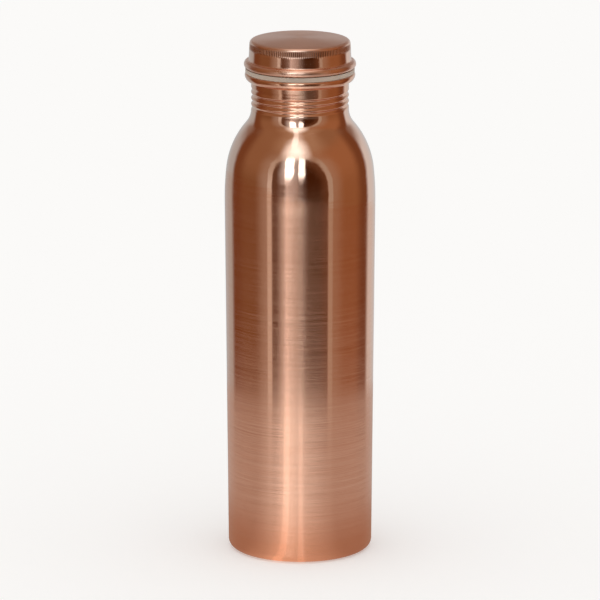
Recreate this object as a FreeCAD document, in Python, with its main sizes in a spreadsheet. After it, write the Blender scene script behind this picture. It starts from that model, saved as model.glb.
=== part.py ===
"""Copper water bottle with a screw cap, as a parametric FreeCAD document.

Millimetres, +Z up.  The origin is the centre of the foot, on the surface that
the bottle stands on, and Z is the axis of every round part.  Azimuths are
counter-clockwise from +X, seen from above.
"""

import FreeCAD, Part
import math
import os

import Sketcher
from FreeCAD import Vector

# Driving dimensions: alias, value in millimetres or degrees, what it measures.
DIMENSIONS = (
    ("sheet", 0.6, "thickness of the copper sheet"),
    # body shell, from the foot upwards
    ("foot_edge_radius", 28.5, "inner edge of the turned-in foot"),
    ("foot_corner", 3.7, "outside bend between foot and wall"),
    ("wall_foot_radius", 35.9, "wall radius just above that bend"),
    ("wall_top_radius", 37.4, "wall radius where the shoulder starts"),
    ("shoulder_height", 177.3, "height where the shoulder starts"),
    ("ease_radius", 150.0, "gentle bend at the start of the shoulder"),
    ("ease_turn", 6.56, "degrees turned by the gentle bend"),
    ("shoulder_radius", 40.7, "main bend of the shoulder"),
    ("cone_slope", 38.9, "slope of the cone above it, from the vertical"),
    ("neck_fillet", 11.2, "hollow bend between shoulder and neck"),
    ("neck_radius", 24.2, "outside of the neck"),
    ("mouth_height", 242.4, "top of the rolled lip"),
    ("lip_bend", 0.45, "inside bends of the rolled lip at its top"),
    ("lip_land", 1.6, "flat on top of the lip, under the sealing ring"),
    ("lip_roll", 2.8, "inside bend that rolls the lip back to the neck"),
    ("lip_roll_turn", 80.0, "degrees turned by the roll"),
    # thread, right-handed, rolled into the neck
    ("pitch", 3.0, "rise of the thread in one turn"),
    ("thread_foot", 225.15, "height of the groove's middle where it starts"),
    ("neck_turns", 3.0, "turns of the thread on the neck"),
    ("thread_depth", 0.75, "depth of the groove"),
    ("groove_mouth", 2.3, "width of the groove at the surface"),
    ("groove_floor", 0.7, "width of the groove at its floor"),
    ("thread_play", 0.25, "play between the neck's thread and the plug's"),
    ("plug_turns", 4.25, "turns of the thread on the plug"),
    # base
    ("base_gap", 0.1, "gap between the base's flange and the wall"),
    ("base_flange", 5.0, "height of the flange above its bend"),
    ("base_corner", 3.0, "outside bend between rim and flange"),
    ("base_rim_radius", 28.0, "inner edge of the base's flat rim"),
    ("dish_bend", 8.0, "bends at the edge of the base's dish"),
    ("dish_slope", 15.0, "degrees of the dish's slope"),
    ("dish_rise", 3.0, "height of the dish's middle above the rim"),
    ("braze_size", 1.4, "leg of the braze fillet"),
    # sealing ring
    ("seal_inner", 23.45, "inner radius of the sealing ring"),
    ("seal_outer", 27.0, "outer radius of the sealing ring"),
    ("seal_thickness", 2.35, "thickness of the sealing ring"),
    ("seal_round", 0.5, "rounding of its edges"),
    # cap cup, from the crest downwards
    ("cap_height", 260.0, "crest of the cap"),
    ("dome_radius", 209.5, "radius of the shallow dome"),
    ("dome_turn", 6.4, "degrees from the crest to the rounded edge"),
    ("cap_edge", 1.75, "rounded edge of the cap"),
    ("grip_slope", 3.5, "slope of the grip's wall, from the vertical"),
    ("knurl_foot", 254.3, "lower end of the knurl"),
    ("knurl_top", 256.9, "upper end of the knurl"),
    ("knurl_floor_radius", 24.72, "distance of a knurl groove's floor from the axis"),
    ("knurl_mouth_radius", 25.3, "distance at which its width is measured"),
    ("knurl_width", 0.9, "width of a knurl groove there"),
    ("knurl_count", 156, "number of knurl grooves"),
    ("rim_crease", 0.5, "hollow bend between grip and rim"),
    ("rim_section", 1.9, "outside radius of the rolled rim's section"),
    ("rim_radius", 25.8, "distance of that section from the axis"),
    ("rim_height", 246.7, "height of its centre"),
    ("rim_end", 14.0, "degrees that the roll stops short of its lowest point"),
    # cap plug, from the closed end upwards
    ("plug_radius", 23.25, "outside of the threaded plug"),
    ("plug_wall", 1.5, "thickness of its wall"),
    ("plug_floor", 1.2, "thickness of its closed end"),
    ("plug_foot", 224.4, "height of its closed end"),
    ("plug_corner", 1.0, "rounded edge of its closed end"),
    ("flange_fillet", 0.5, "hollow bend under the flange"),
    ("hook_radius", 1.25, "outside bend of the flange's rolled edge"),
    ("hook_turn", 130.0, "degrees turned by that edge"),
)

doc = FreeCAD.newDocument("WaterBottle")


# ---------------------------------------------------------------- the sheet

def make_sheet():
    """Write the driving dimensions into a spreadsheet, one aliased cell each."""
    cells = doc.addObject("Spreadsheet::Sheet", "Sizes")
    for row, (alias, value, meaning) in enumerate(DIMENSIONS, start=1):
        cells.set(f"A{row}", meaning)
        cells.set(f"B{row}", str(value))
        cells.setAlias(f"B{row}", alias)
    doc.recompute()
    return cells


sizes = make_sheet()


def size(alias):
    """The value of one driving dimension."""
    return float(sizes.get(alias))


def wall_slope():
    """Slope of the body's wall from the vertical, in degrees."""
    widening = size("wall_top_radius") - size("wall_foot_radius")
    return math.degrees(math.atan2(widening, size("shoulder_height") - size("foot_corner")))


# ---------------------------------------------------------------- sketching

CENTRE = 3  # the number by which a sketch names an arc's centre


def make_body(label):
    """A body whose label is the name of its sub-part."""
    body = doc.addObject("PartDesign::Body", label)
    body.Label = label
    return body


def origin_plane(body, role):
    """One of the body's own origin planes."""
    return next(item for item in body.Origin.OriginFeatures if item.Role == role)


def walk(start, heading, steps):
    """Lay steps end to end from a start point and a heading in degrees.

    A step is ("line", length), ("arc", radius, turn) or ("corner", turn), and a
    left turn is positive.  Each piece that comes back knows its two ends, and
    whether it leaves the piece before it smoothly.
    """
    here = Vector(start[0], start[1], 0)
    angle = math.radians(heading)
    smooth = True
    pieces = []
    for kind, *numbers in steps:
        if kind == "corner":
            angle += math.radians(numbers[0])
            smooth = False
            continue
        piece = {"kind": kind, "start": here, "smooth": smooth}
        if kind == "line":
            here = here + Vector(math.cos(angle), math.sin(angle), 0) * numbers[0]
        else:
            radius, turn = numbers[0], math.radians(numbers[1])
            hand = math.copysign(1, turn)
            centre = here + Vector(-math.sin(angle), math.cos(angle), 0) * radius * hand
            spoke = math.atan2(here.y - centre.y, here.x - centre.x)
            here = centre + Vector(math.cos(spoke + turn), math.sin(spoke + turn), 0) * radius
            piece.update(centre=centre, radius=radius, hand=hand, spokes=(spoke, spoke + turn))
            angle += turn
        piece["end"] = here
        pieces.append(piece)
        smooth = True
    return pieces


class Section:
    """A closed section in a body's XZ plane, bound to the sheet by its constraints."""

    def __init__(self, body, name):
        self.sketch = body.newObject("Sketcher::SketchObject", name)
        self.sketch.AttachmentSupport = [(origin_plane(body, "XZ_Plane"), "")]
        self.sketch.MapMode = "FlatFace"
        self.constraints = []
        self.bindings = []

    def tie(self, kind, *references):
        """Add a constraint that carries no dimension."""
        self.constraints.append(Sketcher.Constraint(kind, *references))

    def bind(self, name, expression, kind, *references):
        """Add a dimension that the sheet drives; the last reference is a first guess."""
        self.bindings.append((len(self.constraints), name, expression))
        self.tie(kind, *references)

    def place(self, name, across, up, geometry, point):
        """Bind a point's distance from the axis and its height; None leaves one free."""
        here = self.sketch.getPoint(geometry, point)
        if across is not None:
            self.bind(f"{name}_across", across, "DistanceX", -1, 1, geometry, point, here.x)
        if up is not None:
            self.bind(f"{name}_up", up, "DistanceY", -1, 1, geometry, point, here.y)

    def draw(self, pieces, offset=0.0):
        """Draw a walked path, moved to its left by offset, as (geometry, start, end)."""
        drawn = []
        for piece in pieces:
            if piece["kind"] == "line":
                along = (piece["end"] - piece["start"]).normalize()
                left = Vector(-along.y, along.x, 0) * offset
                shape = Part.LineSegment(piece["start"] + left, piece["end"] + left)
                ends = (1, 2)
            else:
                radius = piece["radius"] - offset * piece["hand"]
                circle = Part.Circle(piece["centre"], Vector(0, 0, 1), radius)
                shape = Part.ArcOfCircle(circle, *sorted(piece["spokes"]))
                ends = (1, 2) if piece["hand"] > 0 else (2, 1)
            drawn.append((self.sketch.addGeometry(shape), *ends))
        for before, after, piece in zip(drawn, drawn[1:], pieces[1:]):
            kind = "Tangent" if piece["smooth"] else "Coincident"
            self.tie(kind, before[0], before[2], after[0], after[1])
        return drawn

    def join(self, one, end_of_one, two, end_of_two):
        """Close a gap with a straight line between two ends."""
        line = self.sketch.addGeometry(Part.LineSegment(
            self.sketch.getPoint(one, end_of_one), self.sketch.getPoint(two, end_of_two)))
        self.tie("Coincident", line, 1, one, end_of_one)
        self.tie("Coincident", line, 2, two, end_of_two)
        return line

    def draw_sheet(self, pieces, side):
        """Draw both faces of a bent sheet and its edges; its back is on side 1, left, or -1."""
        face = self.draw(pieces)
        back = self.draw(pieces, size("sheet") * side)
        for piece, one, two in zip(pieces, face, back):
            if piece["kind"] == "line":
                self.tie("Parallel", one[0], two[0])
            else:
                self.tie("Coincident", one[0], CENTRE, two[0], CENTRE)
        first_edge = self.join(face[0][0], face[0][1], back[0][0], back[0][1])
        last_edge = self.join(face[-1][0], face[-1][2], back[-1][0], back[-1][2])
        for edge, piece, one in ((first_edge, pieces[0], face[0]), (last_edge, pieces[-1], face[-1])):
            if piece["kind"] == "line":
                self.tie("Perpendicular", edge, one[0])
            else:
                self.tie("PointOnObject", one[0], CENTRE, edge)
        self.bind("thickness", "Sizes.sheet", "Distance", first_edge, size("sheet"))
        return [one[0] for one in face], [two[0] for two in back]

    def settle(self):
        """Hand the constraints to the sketch at once, and check that none is missing."""
        self.sketch.addConstraint(self.constraints)
        for index, name, expression in self.bindings:
            self.sketch.renameConstraint(index, name)
            self.sketch.setExpression(f"Constraints.{name}", expression)
        doc.recompute()
        if not self.sketch.FullyConstrained:
            raise RuntimeError(f"{self.sketch.Name} is not fully constrained")
        self.sketch.Visibility = False


def outline(body, name, corners):
    """A straight-sided section through corners, each a pair of expressions.

    An expression that starts with "<" is a distance to the left of the axis.
    """
    section = Section(body, name)
    count = len(corners)
    for index in range(count):
        here, there = (math.radians(360 * (index + step) / count) for step in (0, 1))
        section.sketch.addGeometry(Part.LineSegment(
            Vector(math.cos(here), math.sin(here), 0), Vector(math.cos(there), math.sin(there), 0)))
    for index, (across, up) in enumerate(corners):
        section.tie("Coincident", index, 2, (index + 1) % count, 1)
        if across.startswith("<"):
            section.bind(f"across{index}", across[1:], "DistanceX", index, 1, -1, 1, 1.0)
        else:
            section.bind(f"across{index}", across, "DistanceX", -1, 1, index, 1, 1.0)
        section.bind(f"up{index}", up, "DistanceY", -1, 1, index, 1, 1.0)
    section.settle()
    return section


def revolve(body, section):
    """Turn a section all the way round the axis."""
    spin = body.newObject("PartDesign::Revolution", "Spin")
    spin.Profile = section.sketch
    spin.ReferenceAxis = (section.sketch, ["V_Axis"])
    spin.Angle = 360
    doc.recompute()
    return spin


def sweep_thread(body, kind, section, turns):
    """Wind a section round the axis, right-handed, to add a ridge or cut a groove."""
    thread = body.newObject(f"PartDesign::{kind}Helix", f"{kind}Thread")
    thread.Profile = section.sketch
    thread.ReferenceAxis = (section.sketch, ["V_Axis"])
    thread.Mode = "pitch-turns-angle"
    thread.setExpression("Pitch", "Sizes.pitch")
    thread.setExpression("Turns", turns)
    doc.recompute()
    return thread


# ---------------------------------------------------------------- bottle

def make_body_shell():
    """One spun sheet: turned-in foot, wall, shoulder, neck, rolled lip and rolled thread."""
    body = make_body("body_shell")
    section = Section(body, "WallSection")
    slope = wall_slope()
    foot_flat = size("wall_foot_radius") - size("foot_corner") - size("foot_edge_radius")
    shoulder_turn = size("cone_slope") + slope - size("ease_turn")
    rough_cone, rough_neck = 1.9, 17.0
    pieces = walk((size("foot_edge_radius"), 0), 0, (
        ("line", foot_flat),
        ("arc", size("foot_corner"), 90 - slope),
        ("line", size("shoulder_height") - size("foot_corner")),
        ("arc", size("ease_radius"), size("ease_turn")),
        ("arc", size("shoulder_radius"), shoulder_turn),
        ("line", rough_cone),
        ("arc", size("neck_fillet"), -size("cone_slope")),
        ("line", rough_neck),
        ("arc", size("lip_bend"), -90),
        ("line", size("lip_land")),
        ("arc", size("lip_bend"), -90),
        ("arc", size("lip_roll"), -size("lip_roll_turn")),
    ))
    face, back = section.draw_sheet(pieces, 1)
    foot, corner, wall, ease, shoulder, _, fillet, neck, lip_in, land, lip_out, roll = face
    top_of_land = back[9]
    section.place("foot_edge", "Sizes.foot_edge_radius", None, foot, 1)
    section.tie("PointOnObject", foot, 1, -1)
    section.tie("Horizontal", foot)
    section.bind("foot_corner", "Sizes.foot_corner", "Radius", corner, size("foot_corner"))
    section.place("wall_foot", "Sizes.wall_foot_radius", None, wall, 1)
    section.place("wall_top", "Sizes.wall_top_radius", "Sizes.shoulder_height", wall, 2)
    section.bind("ease_radius", "Sizes.ease_radius", "Radius", ease, size("ease_radius"))
    section.bind("ease_turn", "Sizes.ease_turn", "Angle", ease, math.radians(size("ease_turn")))
    section.bind("shoulder", "Sizes.shoulder_radius", "Radius", shoulder, size("shoulder_radius"))
    section.bind("fillet", "Sizes.neck_fillet", "Radius", fillet, size("neck_fillet"))
    section.bind("cone", "Sizes.cone_slope", "Angle", fillet, math.radians(size("cone_slope")))
    section.tie("Vertical", neck)
    section.place("neck", "Sizes.neck_radius", None, neck, 2)
    section.bind("lip_in", "Sizes.lip_bend", "Radius", lip_in, size("lip_bend"))
    section.tie("Horizontal", land)
    section.bind("land", "Sizes.lip_land", "Distance", land, size("lip_land"))
    section.place("mouth", None, "Sizes.mouth_height", top_of_land, 2)
    section.bind("lip_out", "Sizes.lip_bend", "Radius", lip_out, size("lip_bend"))
    section.bind("lip_out_turn", "90", "Angle", lip_out, math.pi / 2)
    section.bind("roll", "Sizes.lip_roll", "Radius", roll, size("lip_roll"))
    section.bind("roll_turn", "Sizes.lip_roll_turn", "Angle", roll,
                 math.radians(size("lip_roll_turn")))
    section.settle()
    revolve(body, section)

    # The thread is rolled into the sheet: a groove outside, and inside it the ridge that
    # the groove pushes in.  Both start on the -X side.
    sweep_thread(body, "Additive", thread_ridge(body), "Sizes.neck_turns")
    return sweep_thread(body, "Subtractive", thread_groove(body), "Sizes.neck_turns")


# A groove's flank, as rise along the axis for each millimetre away from the axis.
FLANK = "((Sizes.groove_mouth - Sizes.groove_floor) / 2 / Sizes.thread_depth)"
GROOVE_FLOOR = "(Sizes.neck_radius - Sizes.thread_depth)"
SURFACE_MARGIN = 0.2  # how far a cutting section stands out of the surface that it cuts
RIDGE_ROOT = 0.05     # how far the ridge's section reaches into the wall


def half_width(radius, depth="0"):
    """Half the groove's width at a radius, on a surface that lies depth under the groove."""
    return (f"(Sizes.groove_floor / 2 + ({radius} - {GROOVE_FLOOR}) * {FLANK}"
            f" + ({depth}) * sqrt(1 + {FLANK} * {FLANK}))")


def thread_section(body, name, foot, outer, inner, depth="0"):
    """The thread's section on the -X side, between two radii, at the height of its foot."""
    return outline(body, name, (
        (f"<{outer}", f"{foot} - {half_width(outer, depth)}"),
        (f"<{outer}", f"{foot} + {half_width(outer, depth)}"),
        (f"<{inner}", f"{foot} + {half_width(inner, depth)}"),
        (f"<{inner}", f"{foot} - {half_width(inner, depth)}"),
    ))


def thread_ridge(body):
    """The ridge inside the neck: the groove's shape, one sheet thickness further in."""
    return thread_section(body, "RidgeSection", "Sizes.thread_foot",
                          f"(Sizes.neck_radius - Sizes.sheet + {RIDGE_ROOT})",
                          f"({GROOVE_FLOOR} - Sizes.sheet)", "Sizes.sheet")


def thread_groove(body):
    """The groove outside the neck."""
    return thread_section(body, "GrooveSection", "Sizes.thread_foot",
                          f"(Sizes.neck_radius + {SURFACE_MARGIN})", GROOVE_FLOOR)


def make_base_cup():
    """The base: a dish with a flat rim on the turned-in foot, and a flange up the wall."""
    body = make_body("base_cup")
    section = Section(body, "BaseSection")
    rough_dish, rough_slope, rough_rim = 12.0, 8.0, 4.0
    pieces = walk((0, size("sheet") + size("dish_rise")), 0, (
        ("line", rough_dish),
        ("arc", size("dish_bend"), -size("dish_slope")),
        ("line", rough_slope),
        ("arc", size("dish_bend"), size("dish_slope")),
        ("line", rough_rim),
        ("arc", size("base_corner"), 90),
        ("line", size("base_flange")),
    ))
    face, _ = section.draw_sheet(pieces, 1)
    dish, dish_top, slope, dish_foot, rim, corner, flange = face
    section.tie("PointOnObject", dish, 1, -2)
    section.place("dish", None, "Sizes.sheet + Sizes.dish_rise", dish, 1)
    section.tie("Horizontal", dish)
    section.bind("dish_top", "Sizes.dish_bend", "Radius", dish_top, size("dish_bend"))
    section.bind("dish_turn", "Sizes.dish_slope", "Angle", dish_top,
                 math.radians(size("dish_slope")))
    section.bind("dish_foot", "Sizes.dish_bend", "Radius", dish_foot, size("dish_bend"))
    section.place("rim", "Sizes.base_rim_radius", "Sizes.sheet", rim, 1)
    section.tie("Horizontal", rim)
    section.bind("corner", "Sizes.base_corner", "Radius", corner, size("base_corner"))
    section.tie("Vertical", flange)
    section.place("flange", "Sizes.wall_foot_radius - Sizes.sheet - Sizes.base_gap", None,
                  flange, 1)
    section.bind("flange_length", "Sizes.base_flange", "Distance", flange, size("base_flange"))
    section.settle()
    return revolve(body, section)


def make_base_braze_ring():
    """The fillet of braze that seals the top of the base's flange to the wall."""
    body = make_body("base_braze_ring")
    foot = "(Sizes.sheet + Sizes.base_corner + Sizes.base_flange)"
    top = f"({foot} + Sizes.braze_size)"
    taper = ("((Sizes.wall_top_radius - Sizes.wall_foot_radius)"
             " / (Sizes.shoulder_height - Sizes.foot_corner))")
    bore_at = "(Sizes.wall_foot_radius - Sizes.sheet + ({} - Sizes.foot_corner) * {})"
    flange = "(Sizes.wall_foot_radius - 2 * Sizes.sheet - Sizes.base_gap)"
    return revolve(body, outline(body, "BrazeSection", (
        (flange, foot),
        (bore_at.format(foot, taper), foot),
        (bore_at.format(top, taper), top),
    )))


def make_sealing_ring():
    """The flat silicone ring on the lip."""
    body = make_body("sealing_ring")
    section = Section(body, "SealSection")
    corner = size("seal_round")
    width = size("seal_outer") - size("seal_inner") - 2 * corner
    height = size("seal_thickness") - 2 * corner
    pieces = walk((size("seal_inner") + corner, size("mouth_height")), 0, (
        ("line", width), ("arc", corner, 90), ("line", height), ("arc", corner, 90),
        ("line", width), ("arc", corner, 90), ("line", height), ("arc", corner, 90),
    ))
    drawn = section.draw(pieces)
    section.tie("Tangent", drawn[-1][0], drawn[-1][2], drawn[0][0], drawn[0][1])
    under, first_round, outside, *_ = (one[0] for one in drawn)
    top, inside = drawn[4][0], drawn[6][0]
    for flat in (under, top):
        section.tie("Horizontal", flat)
    for upright in (outside, inside):
        section.tie("Vertical", upright)
    for one in drawn[3::2]:
        section.tie("Equal", first_round, one[0])
    section.bind("round", "Sizes.seal_round", "Radius", first_round, corner)
    section.place("under", None, "Sizes.mouth_height", under, 1)
    section.place("top", None, "Sizes.mouth_height + Sizes.seal_thickness", top, 1)
    section.place("inside", "Sizes.seal_inner", None, inside, 1)
    section.place("outside", "Sizes.seal_outer", None, outside, 1)
    section.settle()
    return revolve(body, section)


# ---------------------------------------------------------------- cap

def make_cap_cup():
    """The cap: a drawn cup with a shallow dome, a knurled grip and a rolled rim."""
    body = make_body("cap_cup")
    section = Section(body, "CupSection")
    edge_turn = 90 - size("dome_turn") - size("grip_slope")
    rough_grip, rough_crease_turn = 7.9, 82.0
    rim_turn = rough_crease_turn + 90 - size("grip_slope") + 10
    pieces = walk((0, size("cap_height")), 0, (
        ("arc", size("dome_radius"), -size("dome_turn")),
        ("arc", size("cap_edge"), -edge_turn),
        ("line", rough_grip),
        ("arc", size("rim_crease"), rough_crease_turn),
        ("arc", size("rim_section"), -rim_turn),
    ))
    face, _ = section.draw_sheet(pieces, -1)
    dome, edge, grip, crease, rim = face
    section.tie("PointOnObject", dome, CENTRE, -2)
    section.place("crest", "0", "Sizes.cap_height", dome, 2)
    section.bind("dome", "Sizes.dome_radius", "Radius", dome, size("dome_radius"))
    section.bind("dome_turn", "Sizes.dome_turn", "Angle", dome, math.radians(size("dome_turn")))
    section.bind("edge", "Sizes.cap_edge", "Radius", edge, size("cap_edge"))
    section.bind("grip", "Sizes.grip_slope - 90", "Angle", grip,
                 math.radians(size("grip_slope") - 90))
    section.bind("crease", "Sizes.rim_crease", "Radius", crease, size("rim_crease"))
    section.bind("rim", "Sizes.rim_section", "Radius", rim, size("rim_section"))
    section.place("rim_centre", "Sizes.rim_radius", "Sizes.rim_height", rim, CENTRE)
    section.place("rim_end", "Sizes.rim_radius - Sizes.rim_section * sin(Sizes.rim_end)", None,
                  rim, 1)
    section.settle()
    revolve(body, section)
    return cut_knurl(body)


def cut_knurl(body):
    """Cut upright V grooves side by side into the top of the grip."""
    sketch = body.newObject("Sketcher::SketchObject", "KnurlSection")
    sketch.AttachmentSupport = [(origin_plane(body, "XY_Plane"), "")]
    sketch.MapMode = "FlatFace"
    sketch.setExpression("AttachmentOffset.Base.z", "Sizes.knurl_foot")
    floor, mouth, half_width_there = (
        size("knurl_floor_radius"), size("knurl_mouth_radius"), size("knurl_width") / 2)
    corners = (Vector(floor, 0, 0), Vector(mouth, -half_width_there, 0),
               Vector(mouth, half_width_there, 0))
    for index in range(3):
        sketch.addGeometry(Part.LineSegment(corners[index], corners[(index + 1) % 3]))
    sketch.addConstraint(
        [Sketcher.Constraint("Coincident", index, 2, (index + 1) % 3, 1) for index in range(3)]
        + [Sketcher.Constraint("PointOnObject", 0, 1, -1),
           Sketcher.Constraint("Symmetric", 1, 1, 1, 2, -1)])
    for name, kind, references in (
            ("floor", "DistanceX", (-1, 1, 0, 1, floor)),
            ("mouth", "DistanceX", (-1, 1, 1, 1, mouth)),
            ("width", "DistanceY", (1, 1, 1, 2, 2 * half_width_there))):
        index = sketch.addConstraint(Sketcher.Constraint(kind, *references))
        sketch.renameConstraint(index, name)
    sketch.setExpression("Constraints.floor", "Sizes.knurl_floor_radius")
    sketch.setExpression("Constraints.mouth", "Sizes.knurl_mouth_radius")
    sketch.setExpression("Constraints.width", "Sizes.knurl_width")
    doc.recompute()

    before = body.Shape.Volume
    groove = body.newObject("PartDesign::Pocket", "KnurlGroove")
    groove.Profile = sketch
    groove.Reversed = True
    groove.setExpression("Length", "Sizes.knurl_top - Sizes.knurl_foot")
    doc.recompute()
    if groove.Shape.Volume >= before:
        raise RuntimeError("the knurl groove cuts nothing")
    ring = body.newObject("PartDesign::PolarPattern", "Knurl")
    ring.Originals = [groove]
    ring.Axis = (sketch, ["N_Axis"])
    ring.Angle = 360
    ring.setExpression("Occurrences", "Sizes.knurl_count")
    body.Tip = ring
    doc.recompute()
    return ring


def make_cap_plug():
    """The threaded plug: a closed cup whose flange is rolled into the cap's rim."""
    body = make_body("cap_plug")
    section = Section(body, "PlugSection")
    corner, fillet, hook = size("plug_corner"), size("flange_fillet"), size("hook_radius")
    flange_height = size("rim_height") - hook
    wall_height = flange_height - fillet - size("plug_foot") - corner
    flange = size("rim_radius") - size("plug_radius") - fillet
    bore = size("plug_radius") - size("plug_wall")
    sheet, turn = size("sheet"), size("hook_turn")
    pieces = walk((0, size("plug_foot")), 0, (
        ("line", size("plug_radius") - corner),
        ("arc", corner, 90),
        ("line", wall_height),
        ("arc", fillet, -90),
        ("line", flange),
        ("arc", hook, turn),
        ("corner", 90),
        ("line", sheet),
        ("corner", 90),
        ("arc", hook - sheet, -turn),
        ("line", size("rim_radius") - bore),
        ("corner", 90),
        ("line", flange_height + sheet - size("plug_foot") - size("plug_floor")),
        ("corner", -90),
        ("line", bore),
        ("corner", 90),
        ("line", size("plug_floor")),
    ))
    drawn = section.draw(pieces)
    floor, corner_arc, wall, fillet_arc, under, hook_arc, edge, back_arc, top, bore_wall, end, axis = (
        one[0] for one in drawn)
    section.tie("Coincident", axis, 2, floor, 1)
    section.tie("PointOnObject", floor, 1, -2)
    section.tie("Vertical", axis)
    for flat in (floor, under, end):
        section.tie("Horizontal", flat)
    for upright in (wall, bore_wall):
        section.tie("Vertical", upright)
    section.tie("Coincident", hook_arc, CENTRE, back_arc, CENTRE)
    section.tie("PointOnObject", hook_arc, CENTRE, edge)
    section.place("floor", None, "Sizes.plug_foot", floor, 1)
    section.bind("corner", "Sizes.plug_corner", "Radius", corner_arc, corner)
    section.place("wall", "Sizes.plug_radius", None, wall, 1)
    section.bind("fillet", "Sizes.flange_fillet", "Radius", fillet_arc, fillet)
    section.bind("hook", "Sizes.hook_radius", "Radius", hook_arc, hook)
    section.bind("hook_turn", "Sizes.hook_turn", "Angle", hook_arc, math.radians(turn))
    section.bind("hook_edge", "Sizes.sheet", "Distance", edge, sheet)
    section.place("hook_centre", "Sizes.rim_radius", "Sizes.rim_height", hook_arc, CENTRE)
    section.tie("Horizontal", top)
    section.place("bore", "Sizes.plug_radius - Sizes.plug_wall", None, bore_wall, 1)
    section.bind("floor_thickness", "Sizes.plug_floor", "Distance", axis, size("plug_floor"))
    section.settle()
    revolve(body, section)

    depth = "(Sizes.sheet + Sizes.thread_play)"
    groove = thread_section(body, "GrooveSection", "(Sizes.thread_foot - Sizes.pitch)",
                            f"(Sizes.plug_radius + {SURFACE_MARGIN / 2})",
                            f"({GROOVE_FLOOR} - {depth})", depth)
    return sweep_thread(body, "Subtractive", groove, "Sizes.plug_turns")


# ---------------------------------------------------------------- checks and files

def check(objects):
    """Stop on any failed object, and on any sub-part without a sound shape."""
    for item in objects:
        if {"Invalid", "Error"} & set(item.State):
            raise RuntimeError(f"{item.Name} failed: {item.State}")
    for body in objects:
        if body.TypeId != "PartDesign::Body":
            continue
        shape = body.Shape
        if shape.isNull() or not shape.isValid() or not shape.Solids:
            raise RuntimeError(f"{body.Label} has no valid solid")


def main():
    """Build every sub-part, check it and write it to its own file."""
    for make in (make_body_shell, make_base_cup, make_base_braze_ring, make_sealing_ring,
                 make_cap_cup, make_cap_plug):
        make()
    doc.recompute()
    check(doc.Objects)
    os.makedirs("parts", exist_ok=True)
    for body in doc.findObjects("PartDesign::Body"):
        body.Shape.exportStep(f"parts/{body.Label}.step")
        print(f"{body.Label}: {body.Shape.Volume:.0f} cubic millimetres")


main()
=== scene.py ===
import math

import bmesh
import bpy
import numpy as np
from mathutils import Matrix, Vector


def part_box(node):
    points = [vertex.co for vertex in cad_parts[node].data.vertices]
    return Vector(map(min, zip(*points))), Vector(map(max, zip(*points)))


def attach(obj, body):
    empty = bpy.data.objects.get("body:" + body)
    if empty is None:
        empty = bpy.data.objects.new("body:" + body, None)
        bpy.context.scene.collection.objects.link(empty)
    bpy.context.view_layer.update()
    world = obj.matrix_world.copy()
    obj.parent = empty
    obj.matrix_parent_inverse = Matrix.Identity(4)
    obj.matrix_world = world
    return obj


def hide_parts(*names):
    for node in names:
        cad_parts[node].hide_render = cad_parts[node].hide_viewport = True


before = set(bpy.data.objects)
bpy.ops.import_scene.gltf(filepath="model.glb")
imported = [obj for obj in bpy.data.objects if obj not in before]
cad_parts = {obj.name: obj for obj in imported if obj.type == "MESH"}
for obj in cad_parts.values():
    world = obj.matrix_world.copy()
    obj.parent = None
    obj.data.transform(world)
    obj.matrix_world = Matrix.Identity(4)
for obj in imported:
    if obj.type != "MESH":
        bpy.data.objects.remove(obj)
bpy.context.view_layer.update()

# Every outline below is in millimetres, as (distance from the axis, height).
MM = 0.001


def top_of(node):
    """The height of a CAD node's top, in millimetres."""
    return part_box(node)[1][2] / MM


def radius_of(node):
    """The largest radius of a CAD node about the axis, in millimetres."""
    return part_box(node)[1][0] / MM


# ---------------------------------------------------------------- dimensions, in millimetres

SHEET = 0.6
FOOT_EDGE, FOOT_CORNER = 28.5, 3.7
SHOULDER_HEIGHT = 177.3
EASE_RADIUS, EASE_TURN = 150.0, 6.56
EASE_BULGE = 0.006  # how much the leaning wall still widens above the shoulder's start
WALL_FOOT, WALL_TOP = 35.9, radius_of("body_shell") - EASE_BULGE
SHOULDER_RADIUS, CONE_SLOPE = 40.7, 38.9
NECK_FILLET, NECK_RADIUS = 11.2, 24.2
MOUTH = top_of("body_shell")
LIP_BEND, LIP_LAND, LIP_ROLL, LIP_ROLL_TURN = 0.45, 1.6, 2.8, 80.0
LIP_REACH = 4.6  # the rolled lip ends within this distance below the mouth

PITCH, THREAD_FOOT = 3.0, 225.15
THREAD_START_AZIMUTH = math.pi
NECK_TURNS, NECK_THREAD_DEPTH = 3.0, 0.75
PLUG_TURNS, PLUG_THREAD_DEPTH = 4.25, 0.65
THREAD_FADE = 0.3  # turns to each side of a thread's end over which it fades
OPEN_END = 0.01  # the same, where the plug's thread runs off its foot

DISH_RISE, DISH_BEND, DISH_SLOPE = 3.0, 8.0, 15.0
BASE_RIM, BASE_CORNER, BASE_FLANGE, BASE_GAP = 28.0, 3.0, 5.0, 0.1

SEAL_INNER, SEAL_ROUND, SEAL_TOP_ROUND = 23.45, 0.5, 0.15

CAP_CREST = top_of("cap_cup")
DOME_RADIUS, DOME_TURN, CAP_EDGE, GRIP_SLOPE = 209.5, 6.4, 1.75, 3.5
RIM_CREASE, RIM_SECTION, RIM_RADIUS, RIM_HEIGHT, RIM_END = 0.5, 1.9, 25.8, 246.7, 14.0
KNURL_FOOT, KNURL_TOP, KNURL_DEPTH, KNURL_COUNT = 254.3, 257.3, 0.2, 156
KNURL_COMES, KNURL_GOES = (254.0, 255.0), (256.8, 257.8)  # heights over which it fades in and out

PLUG_RADIUS, PLUG_WALL, PLUG_FLOOR, PLUG_CORNER = 23.25, 1.5, 1.2, 1.0
PLUG_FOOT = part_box("cap_plug")[0][2] / MM
FLANGE_FILLET, HOOK_RADIUS, HOOK_TURN = 0.5, 1.25, 130.0

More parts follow.
